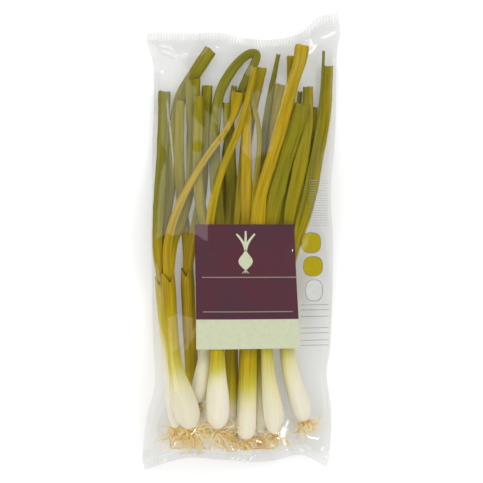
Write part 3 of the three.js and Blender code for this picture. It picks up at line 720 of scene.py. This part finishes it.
def crumple(x, y):
    """Flat facets that meet in sharp ridges, as in film that was crumpled and pulled flat."""
    rng = np.random.default_rng(SEED + 1)
    total = np.zeros_like(x)
    for size, drop, longer, tilt in FACETS:
        u = (x * math.cos(tilt) + y * math.sin(tilt)) / size
        v = (-x * math.sin(tilt) + y * math.cos(tilt)) / size / longer
        heights = rng.uniform(-drop, drop, (64, 64))
        i, j = np.floor(u).astype(int), np.floor(v).astype(int)
        fu, fv = u - i, v - j
        near, right, far, both = (heights[(i + di) % 64, (j + dj) % 64]
                                  for di, dj in ((0, 0), (1, 0), (0, 1), (1, 1)))
        lower = near + fu * (right - near) + fv * (far - near)
        upper = both + (1 - fu) * (far - both) + (1 - fv) * (right - both)
        total += np.where(fu + fv < 1, lower, upper)
    return total


def creases(x, y):
    """Sharp small folds along given lines: their height, and their whitening, which is a painted glint."""
    total, painted_glints = np.zeros_like(x), np.zeros_like(x)
    for line, height, width, white in CREASES:
        rounded = len(line) > 2 and width > SHARPEST
        points = evenly(curve_points(line) if rounded else np.array(line, float), 0.5)[1]
        share = np.linspace(0, 1, len(points))
        near = np.full_like(x, 99.0)
        taper = np.zeros_like(x)
        for (px, py), t in zip(points, share):
            apart = np.hypot(x - px, y - py)
            closer = apart < near
            near = np.where(closer, apart, near)
            taper = np.where(closer, min(1.0, 6 * t + 0.2, 6 * (1 - t) + 0.2), taper)
        total += height * taper * np.exp(-near / width * 1.6)
        painted_glints = np.maximum(painted_glints, white * taper * np.exp(-(near / width / 0.7) ** 2))
    return total, painted_glints


def seal_height(x):
    return SEAL_HEIGHT + 0.8 * np.sin(x / 9 + 1) + 0.5 * np.sin(x / 4.1)


def in_seal(v):
    return (v <= SEAL_SHARE) | (v >= 1 - SEAL_SHARE)


def even_shares(columns):
    """Shares across the bag, closer together towards the folds."""
    turn = math.pi / 2 * EDGE_CROWDING
    return 0.5 + 0.5 * np.sin(np.linspace(-1, 1, columns) * turn) / math.sin(turn)


def relaxed_sheet(strands):
    """The taut front film, relaxed from a coarse grid to the finest: shares, places and heights."""
    raster = raster_of(strands)
    old = None
    for level, passes in RELAXING:
        shares_u = even_shares(FRONT_GRID[0] // level)
        shares_v = np.linspace(0, 1, FRONT_GRID[1] // level)
        u, v = np.meshgrid(shares_u, shares_v)
        x, y = np.moveaxis(bag_point(u, v), -1, 0)
        pinned = in_seal(v) | (u <= 0) | (u >= 1)
        least = np.maximum(sample_raster(raster, x, y), underside_at(x, y) + LEAST_ROOM)
        edge = np.where(in_seal(v), seal_height(x), fold_height(y)) + FILM_APART
        if old is None:
            high = least.copy()
        else:
            across = np.array([np.interp(shares_u, old[0], row) for row in old[2]])
            high = np.array([np.interp(shares_v, old[1], column) for column in across.T]).T
            high = np.maximum(high, least)
        high = np.where(pinned, edge, high)
        stretch(high, least, x, y, pinned, passes)
        old = (shares_u, shares_v, high)
    return shares_u, shares_v, u, v, x, y, high


def front_sheet(strands):
    """The front film with its facets, creases and crimped welds, and how far it is whitened: painted glints
    along the creases, and frost with painted sheen on the welds.
    """
    shares_u, shares_v, u, v, x, y, high = relaxed_sheet(strands)
    inner = np.minimum(smooth((v - SEAL_SHARE) / FACET_FADE), smooth((1 - SEAL_SHARE - v) / FACET_FADE))
    inner = inner * smooth(np.minimum(u, 1 - u) / FACET_FADE)
    folds, painted_glints = creases(x, y)
    high = high + inner * (1 + crumple(x, y)) + folds
    ridges = np.cos(2 * math.pi * (x + 0.4 * np.sin(y)) / SEAL_RIDGE)
    patchy = 0.5 + 0.3 * wave(x / 6, 3.0)
    high = high + np.where(in_seal(v) & (u > 0) & (u < 1), SEAL_RELIEF * ridges * patchy, 0)
    # Weld whitening: frost, made stronger on the ridge crests as painted sheen.
    crimp_frost_and_sheen = np.where(y < 0, *SEAL_FROST_AND_SHEEN) * (0.6 + 0.4 * ridges) * patchy
    frost = np.maximum(clamp(painted_glints), np.where(in_seal(v), crimp_frost_and_sheen, 0))
    return dict(u=shares_u, v=shares_v, x=x, y=y, z=high, frost=frost)


def height_on(front, x, y):
    """The front film's height at any place."""
    u, v = bag_shares(x, y)
    i = clamp(np.interp(u, front["u"], np.arange(len(front["u"]))), 0, len(front["u"]) - 1.001)
    j = clamp(np.interp(v, front["v"], np.arange(len(front["v"]))), 0, len(front["v"]) - 1.001)
    i0, j0 = i.astype(int), j.astype(int)
    fi, fj = i - i0, j - j0
    z = front["z"]
    low = z[j0, i0] * (1 - fi) + z[j0, i0 + 1] * fi
    high = z[j0 + 1, i0] * (1 - fi) + z[j0 + 1, i0 + 1] * fi
    return low * (1 - fj) + high * fj


def snapped_to_vent(x, y):
    """Moves grid nodes near the vent's rim onto it, and tells which nodes lie in the hole."""
    out_x, out_y = x - VENT_CENTRE[0], y - VENT_CENTRE[1]
    out = np.hypot(out_x, out_y) / VENT_RADIUS
    near_rim = np.abs(out - 1) < VENT_SNAP
    x = np.where(near_rim, VENT_CENTRE[0] + out_x / out, x)
    y = np.where(near_rim, VENT_CENTRE[1] + out_y / out, y)
    return x, y, (out < 1 + VENT_SNAP).ravel()


def add_front_film(front, material):
    x, y, in_hole = snapped_to_vent(front["x"], front["y"])
    columns, rows = FRONT_GRID
    points = np.stack([x, y, front["z"]], -1).reshape(-1, 3)
    faces = [face for face in grid_faces(rows, columns, False) if not all(in_hole[k] for k in face)]
    piece = mesh_object("bag_front_film", points, faces, material, points[:, :2] / TEXTURE_SPAN,
                        {"frost": front["frost"].ravel()})
    belongs(piece, "film", "bag_film")


def add_back_film(material):
    columns, rows = BACK_GRID
    u, v = np.meshgrid(even_shares(columns), np.linspace(0, 1, rows))
    x, y = np.moveaxis(bag_point(u, v), -1, 0)
    sides = np.where((u <= 0) | (u >= 1), fold_height(y), underside_at(x, y))
    low = np.where(in_seal(v), seal_height(x), sides) - FILM_APART * in_seal(v)
    points = np.stack([x, y, low], -1).reshape(-1, 3)
    faces = [tuple(reversed(face)) for face in grid_faces(rows, columns, False)]
    piece = mesh_object("bag_back_film", points, faces, material, points[:, :2] / TEXTURE_SPAN)
    belongs(piece, "film", "bag_film")


# Print on the inner side of the front film. Its places are those seen from the camera.
PRINT_DEPTH = 0.12
PRINT_NEARNESS = 1.025
PANEL_LEFT = ((-33, 12), (-32, -55), (-31.8, -75.8))
PANEL_RIGHT = ((36.6, 12), (40.6, -55), (40.9, -75.8))
PANEL_COLUMNS = 100
PANEL_ROWS = 90
STRIP_ROWS = 30
DOTTED_LINES = ((-25.2, -27.5, 37.8), (-49.6, -26.8, 36.4))
DOT_STEP = 1.55
RULES = (-45.1, -48.7, -53.3, -61.5, -65.1, -70.2, -73.8)
RULE_SPAN = (42.2, 62.2)
FINE_RULES = (43, 10, 1.75)
FINE_RULE_SPAN = (47.5, 62)
DISCS = (
    ("disc_upper", "disc", (49.2, -0.9), (6.9, 7.0)),
    ("disc_middle", "disc", (50.8, -17.6), (6.8, 6.8)),
    ("disc_lower", "pale", (51.7, -34.8), (5.9, 7.4)),
)
DISC_AROUND = 48
DISC_RINGS = 7
DISC_RIM = 0.35
DISC_SQUARENESS = 2.6
SPRIG_CENTRE = (2.9, -6.8)
SPRIG_POINTS = 15
INK_RAISED = 0.05
RULE_HALF = 0.16
FINE_RULE_HALF = 0.13
DOT_HALF = 0.28


def seen(x, y):
    return np.asarray(x, float) / PRINT_NEARNESS, np.asarray(y, float) / PRINT_NEARNESS


def print_sheet(name, x, y, faces, front, material, raised=0.0):
    """A flat pattern of ink, laid against the inside of the front film."""
    x, y = seen(x, y)
    z = height_on(front, x, y) - PRINT_DEPTH + raised
    points = np.stack([x, y, z], -1).reshape(-1, 3)
    piece = mesh_object(name, points, faces, material, points[:, :2] / 10)
    belongs(piece, "film")


def print_panel(name, low, high, rows, front, material):
    """A part of the panel between two of its rows of corners."""
    columns = PANEL_COLUMNS
    u, v = np.meshgrid(np.linspace(0, 1, columns), np.linspace(0, 1, rows))
    (x0, y0), (x1, y1) = (PANEL_LEFT[low], PANEL_RIGHT[low])
    (x2, y2), (x3, y3) = (PANEL_LEFT[high], PANEL_RIGHT[high])
    x = lerp(lerp(x0, x1, u), lerp(x2, x3, u), v)
    y = lerp(lerp(y0, y1, u), lerp(y2, y3, u), v)
    print_sheet(name, x, y, grid_faces(rows, columns, False), front, material)


def squarish(centre, half_widths, half_heights):
    """Rings that are rounder than a square and squarer than a circle."""
    angle = np.linspace(0, 2 * math.pi, DISC_AROUND, endpoint=False)
    power = DISC_SQUARENESS
    rounded = (np.abs(np.cos(angle)) ** power + np.abs(np.sin(angle)) ** power) ** (-1 / power)
    x = centre[0] + half_widths * rounded * np.cos(angle)
    y = centre[1] + half_heights * rounded * np.sin(angle)
    return x, y, grid_faces(len(x), DISC_AROUND, True)


def disc_shape(centre, size):
    share = np.linspace(0.001, 1, DISC_RINGS)[:, None]
    return squarish(centre, share * size[0], share * size[1])


def rim_shape(centre, size):
    grow = np.array([[0.0], [DISC_RIM]])
    return squarish(centre, size[0] + grow, size[1] + grow)


def strips_shape(strips, across=2):
    """Several short bars as one pattern; each is a row of points and a half width."""
    xs, ys, faces = [], [], []
    count = 0
    for line, half in strips:
        line = np.array(line, float)
        along = np.gradient(line, axis=0)
        along /= np.linalg.norm(along, axis=1)[:, None]
        side = np.stack([-along[:, 1], along[:, 0]], -1) * np.reshape(half, (-1, 1))
        share = np.linspace(-1, 1, across)[:, None, None]
        both = line + side * share
        xs.append(both[..., 0].ravel())
        ys.append(both[..., 1].ravel())
        faces += [tuple(reversed(face)) for face in grid_faces(across, len(line), False, count)]
        count += across * len(line)
    return np.concatenate(xs), np.concatenate(ys), faces


def sprig():
    """A plain onion: a bulb, three leaves and three roots."""
    cx, cy = SPRIG_CENTRE
    t = np.linspace(0, 1, SPRIG_POINTS)
    bars = []
    bulb_y = cy - 13 + 13 * t
    bulb_half = 0.9 + 5.2 * np.sin(np.pi * np.minimum(1, t * 1.02)) ** 1.2 * (1 - 0.45 * t)
    bars.append((np.stack([np.full(SPRIG_POINTS, cx), bulb_y], -1), bulb_half))
    for lean, tall in ((-6.5, 11.5), (0, 13.5), (6.5, 11.5)):
        x = cx + lean * t ** 1.7
        y = cy + 0.6 + tall * t
        bars.append((np.stack([x, y], -1), 1.15 - 0.55 * t))
    for lean in (-2.2, 0, 2.2):
        root = np.stack([cx + lean * t, cy - 13.4 - 2.2 * t], -1)
        bars.append((root, np.full(SPRIG_POINTS, 0.28)))
    return strips_shape(bars, 13)


def level_rules(heights, span, half, points):
    """Straight level lines at the given heights."""
    x = np.linspace(*span, points)
    return strips_shape([(np.stack([x, np.full(points, y)], -1), half) for y in heights])


def add_print(front, materials):
    """The panel and strip with their sprig and dotted lines, the discs, and the rules of the small print."""
    print_panel("print_panel", 1, 0, PANEL_ROWS, front, materials["purple"])
    print_panel("print_strip", 2, 1, STRIP_ROWS, front, materials["strip"])
    print_sheet("print_sprig", *sprig(), front, materials["strip"], INK_RAISED)
    dots = [([(x, y), (x + DOT_STEP * 0.5, y)], DOT_HALF) for y, left, right in DOTTED_LINES
            for x in np.arange(left, right, DOT_STEP)]
    print_sheet("print_dotted_lines", *strips_shape(dots), front, materials["strip"], INK_RAISED)
    for name, ink, centre, size in DISCS:
        print_sheet(f"print_{name}", *disc_shape(centre, size), front, materials[ink])
        print_sheet(f"print_{name}_rim", *rim_shape(centre, size), front, materials["ink"])
    print_sheet("print_rules", *level_rules(RULES, RULE_SPAN, RULE_HALF, 24), front, materials["ink"])
    top, low, step = FINE_RULES
    fine = level_rules(np.arange(top, low, -step), FINE_RULE_SPAN, FINE_RULE_HALF, 18)
    print_sheet("print_fine_rules", *fine, front, materials["faint"])


# Materials
# Painted shade: the lining inside each leaf's open end is given this dark olive in place of the leaf's
# colour.
INSIDE_LEAF_SHADE = (0.3, 0.24, 0.03)
FILM_CLEAR = (0.945, 0.947, 0.942, 1)
MOST_MIRRORED = 0.22


def new_material(name):
    material = bpy.data.materials.new(name)
    material.use_nodes = True
    nodes = material.node_tree.nodes
    return material, nodes, material.node_tree.links, nodes["Principled BSDF"]


def set_inputs(node, values):
    for name, value in values.items():
        node.inputs[name].default_value = value


def ramp(nodes, links, stops, place):
    """The colour at a place along a row of colours."""
    made = nodes.new("ShaderNodeValToRGB")
    elements = made.color_ramp.elements
    while len(elements) < len(stops):
        elements.new(0.5)
    for element, (position, colour) in zip(elements, stops):
        element.position = position
        element.color = (*colour, 1)
    links.new(place, made.inputs["Fac"])
    return made.outputs["Color"]


def attribute(nodes, name):
    made = nodes.new("ShaderNodeAttribute")
    made.attribute_name = name
    return made.outputs["Fac"]


def stretched_noise(nodes, links, scale, factors, detail=4.0):
    uv = nodes.new("ShaderNodeUVMap")
    uv.uv_map = "lie"
    mapping = nodes.new("ShaderNodeMapping")
    mapping.inputs["Scale"].default_value = (*factors, 1)
    noise = nodes.new("ShaderNodeTexNoise")
    set_inputs(noise, {"Scale": scale, "Detail": detail})
    links.new(uv.outputs["UV"], mapping.inputs["Vector"])
    links.new(mapping.outputs["Vector"], noise.inputs["Vector"])
    return noise.outputs["Fac"]


def maths(nodes, links, operation, first, second):
    made = nodes.new("ShaderNodeMath")
    made.operation = operation
    for socket, value in zip(made.inputs, (first, second)):
        if isinstance(value, (int, float)):
            socket.default_value = value
        else:
            links.new(value, socket)
    return made.outputs[0]


def mix_colour(nodes, links, factor, first, second, blend="MIX"):
    made = nodes.new("ShaderNodeMix")
    made.data_type = "RGBA"
    made.blend_type = blend
    for key, value in ((0, factor), (6, first), (7, second)):
        if isinstance(value, (int, float)):
            made.inputs[key].default_value = value
        elif isinstance(value, tuple):
            made.inputs[key].default_value = (*value, 1)
        else:
            links.new(value, made.inputs[key])
    return made.outputs[2]


def centred(nodes, links, value, reach):
    return maths(nodes, links, "MULTIPLY", maths(nodes, links, "SUBTRACT", value, 0.5), reach)


def onion_colour(nodes, links, streak):
    """White base, then yellow, golden and green, with darker lengthwise lines, a tint for each strand, and
    painted shade on the lining inside the leaf ends.
    """
    blotch = stretched_noise(nodes, links, 0.5, (1.0, 0.5), 3.0)
    place = maths(nodes, links, "ADD", attribute(nodes, "green"), centred(nodes, links, streak, 0.14))
    place = maths(nodes, links, "ADD", place, centred(nodes, links, blotch, 0.14))
    colours = ramp(nodes, links, (
        (0.0, (0.96, 0.9, 0.75)), (0.1, (0.92, 0.85, 0.52)), (0.24, (0.76, 0.66, 0.09)),
        (0.38, (0.66, 0.5, 0.008)), (0.5, (0.6, 0.39, 0.001)), (0.66, (0.47, 0.35, 0.001)),
        (0.82, (0.31, 0.27, 0.003)), (1.0, (0.16, 0.17, 0.02))), place)
    lines = ramp(nodes, links, ((0.36, (0.5, 0.52, 0.45)), (0.6, (1.0, 1.0, 1.0))), streak)
    lined = ramp(nodes, links, ((0.05, (0.12, 0.12, 0.12)), (0.4, (0.75, 0.75, 0.75))),
                 attribute(nodes, "green"))
    striped = mix_colour(nodes, links, lined, colours, lines, "MULTIPLY")
    tint = ramp(nodes, links, ((0.0, (0.93, 0.94, 0.9)), (1.0, (1.0, 1.0, 1.0))), attribute(nodes, "shade"))
    tinted = mix_colour(nodes, links, 1.0, striped, tint, "MULTIPLY")
    return mix_colour(nodes, links, attribute(nodes, "inside"), tinted, INSIDE_LEAF_SHADE)


def onion_material():
    """Waxy skin with fine lengthwise streaks."""
    material, nodes, links, shader = new_material("onion")
    streak = stretched_noise(nodes, links, 9.0, (1.0, 0.03), 5.0)
    links.new(onion_colour(nodes, links, streak), shader.inputs["Base Color"])
    rough = maths(nodes, links, "ADD", maths(nodes, links, "MULTIPLY", streak, 0.2), 0.32)
    links.new(rough, shader.inputs["Roughness"])
    bump = nodes.new("ShaderNodeBump")
    set_inputs(bump, {"Strength": 0.5, "Distance": 0.0003})
    links.new(streak, bump.inputs["Height"])
    links.new(bump.outputs["Normal"], shader.inputs["Normal"])
    set_inputs(shader, {"Specular IOR Level": 0.35, "Subsurface Weight": 0.1, "Subsurface Scale": 1.0,
                        "Subsurface Radius": (0.003, 0.0025, 0.001)})
    return material


def roots_material():
    material, nodes, links, shader = new_material("roots")
    colours = ramp(nodes, links, (
        (0.0, (0.75, 0.42, 0.09)), (0.25, (0.95, 0.69, 0.25)), (0.6, (1.0, 0.85, 0.45)),
        (1.0, (1.0, 0.95, 0.7))), attribute(nodes, "shade"))
    links.new(colours, shader.inputs["Base Color"])
    set_inputs(shader, {"Roughness": 0.6, "Specular IOR Level": 0.25})
    return material


def film_material():
    """Clear glossy film, whitened at its creases and crimped welds: painted glints at the creases, frost with
    painted sheen at the welds.
    """
    material, nodes, links, shader = new_material("film")
    nodes.remove(shader)
    clear = nodes.new("ShaderNodeBsdfTransparent")
    clear.inputs["Color"].default_value = FILM_CLEAR
    gloss = nodes.new("ShaderNodeBsdfGlossy")
    set_inputs(gloss, {"Roughness": 0.05, "Color": (1, 1, 1, 1)})
    fresnel = nodes.new("ShaderNodeFresnel")
    fresnel.inputs["IOR"].default_value = 1.5
    held = maths(nodes, links, "MINIMUM", fresnel.outputs["Fac"], MOST_MIRRORED)
    mix = nodes.new("ShaderNodeMixShader")
    links.new(held, mix.inputs["Fac"])
    links.new(clear.outputs["BSDF"], mix.inputs[1])
    links.new(gloss.outputs["BSDF"], mix.inputs[2])
    # This diffuse white is painted glints on the creases, and frost with painted sheen on the welds.
    white = nodes.new("ShaderNodeBsdfDiffuse")
    white.inputs["Color"].default_value = (0.95, 0.95, 0.95, 1)
    frost_and_glint_mix = nodes.new("ShaderNodeMixShader")
    links.new(attribute(nodes, "frost"), frost_and_glint_mix.inputs["Fac"])
    links.new(mix.outputs["Shader"], frost_and_glint_mix.inputs[1])
    links.new(white.outputs["BSDF"], frost_and_glint_mix.inputs[2])
    links.new(frost_and_glint_mix.outputs["Shader"], nodes["Material Output"].inputs["Surface"])
    return material


def print_material(name, colour, second=None, scale=3.0):
    """Ink that varies between two colours over patches; the second is a little darker if it isn't given."""
    material, nodes, links, shader = new_material(name)
    grain = stretched_noise(nodes, links, scale, (1.0, 1.0), 4.0)
    tone = ramp(nodes, links, ((0.35, second or tuple(c * 0.94 for c in colour)), (0.65, colour)), grain)
    links.new(tone, shader.inputs["Base Color"])
    set_inputs(shader, {"Roughness": 0.4, "Specular IOR Level": 0.15})
    return material


def floor_material():
    material, *_, shader = new_material("floor")
    set_inputs(shader, {"Base Color": (0.7, 0.7, 0.7, 1), "Emission Color": (1, 1, 1, 1),
                        "Emission Strength": 0.26, "Roughness": 0.9, "Specular IOR Level": 0.1})
    return material


# Stage, light and camera. A lamp has a name, place, target, size, radiance, and whether gloss mirrors it.
FLOOR_HALF = 1.6
FLOOR_BELOW = 0.0004
WORLD_STRENGTH = 0.12
MIDDLE = (0, 0, 0)
LAMPS = (
    ("panel_over_left", (-0.98, 0.7, 1.2), (-0.98, 0.7, 0), (1.2, 1.2), 1.6, True),
    ("softbox_left", (-1.25, -0.1, 0.95), MIDDLE, (1.6, 1.0), 2.15, False),
    ("softbox_right", (1.25, 0.1, 0.95), MIDDLE, (1.6, 1.0), 2.15, False),
    ("softbox_front", (0.1, -1.25, 0.95), MIDDLE, (1.6, 1.0), 2.15, False),
    ("softbox_behind", (0.3, 1.25, 0.95), MIDDLE, (1.6, 1.0), 2.15, False),
    ("strip_front", (0.25, -1.15, 0.8), MIDDLE, (0.4, 0.05), 30, True),
    ("strip_behind", (0.45, 1.1, 0.8), MIDDLE, (0.4, 0.05), 30, True),
)


def add_stage(material):
    half = FLOOR_HALF
    mesh = bpy.data.meshes.new("floor")
    corners = [(-half, -half, 0), (half, -half, 0), (half, half, 0), (-half, half, 0)]
    mesh.from_pydata(corners, [], [(0, 1, 2, 3)])
    mesh.materials.append(material)
    floor = bpy.data.objects.new("floor", mesh)
    floor.location = (0, 0, -FLOOR_BELOW)
    bpy.context.scene.collection.objects.link(floor)


def area_light(name, place, target, size, radiance, mirrored):
    data = bpy.data.lights.new(name, "AREA")
    data.shape = "RECTANGLE"
    data.size, data.size_y = size
    data.energy = radiance * math.pi * size[0] * size[1]
    lamp = bpy.data.objects.new(name, data)
    lamp.location = place
    lamp.visible_glossy = mirrored
    lamp.rotation_euler = (Vector(target) - Vector(place)).to_track_quat("-Z", "Y").to_euler()
    bpy.context.scene.collection.objects.link(lamp)


def add_light():
    world = bpy.data.worlds.new("studio")
    world.use_nodes = True
    world.node_tree.nodes["Background"].inputs["Color"].default_value = (1, 1, 1, 1)
    world.node_tree.nodes["Background"].inputs["Strength"].default_value = WORLD_STRENGTH
    bpy.context.scene.world = world
    for lamp in LAMPS:
        area_light(*lamp)


PIXEL = 0.7 * MM
PICTURE = 483
LENS = 110
SENSOR = 36


def add_camera():
    data = bpy.data.cameras.new("camera")
    data.lens = LENS
    data.sensor_width = SENSOR
    camera = bpy.data.objects.new("camera", data)
    camera.location = (0.0, 0.0, SEAL_HEIGHT * MM + PICTURE * PIXEL * LENS / SENSOR)
    data.clip_end = 10
    bpy.context.scene.collection.objects.link(camera)
    bpy.context.scene.camera = camera


scene = bpy.context.scene
scene.view_settings.view_transform = "Standard"
add_camera()
add_light()
add_stage(floor_material())
materials = dict(
    onion=onion_material(), roots=roots_material(), film=film_material(),
    purple=print_material("print_purple", (0.125, 0.034, 0.05), (0.095, 0.04, 0.06), 0.3),
    strip=print_material("print_off_white", (0.7, 0.74, 0.53)),
    disc=print_material("print_yellow_green", (0.5, 0.4, 0.003)),
    pale=print_material("print_pale", (0.72, 0.73, 0.7)),
    ink=print_material("print_ink", (0.2, 0.2, 0.17)),
    faint=print_material("print_faint_ink", (0.42, 0.42, 0.4)))
strands = lay_out()
add_onions(strands, materials)
covers = add_roots(strands, materials)
front = front_sheet([*strands, *covers])
add_front_film(front, materials["film"])
add_back_film(materials["film"])
add_print(front, materials)

bpy.context.view_layer.update()
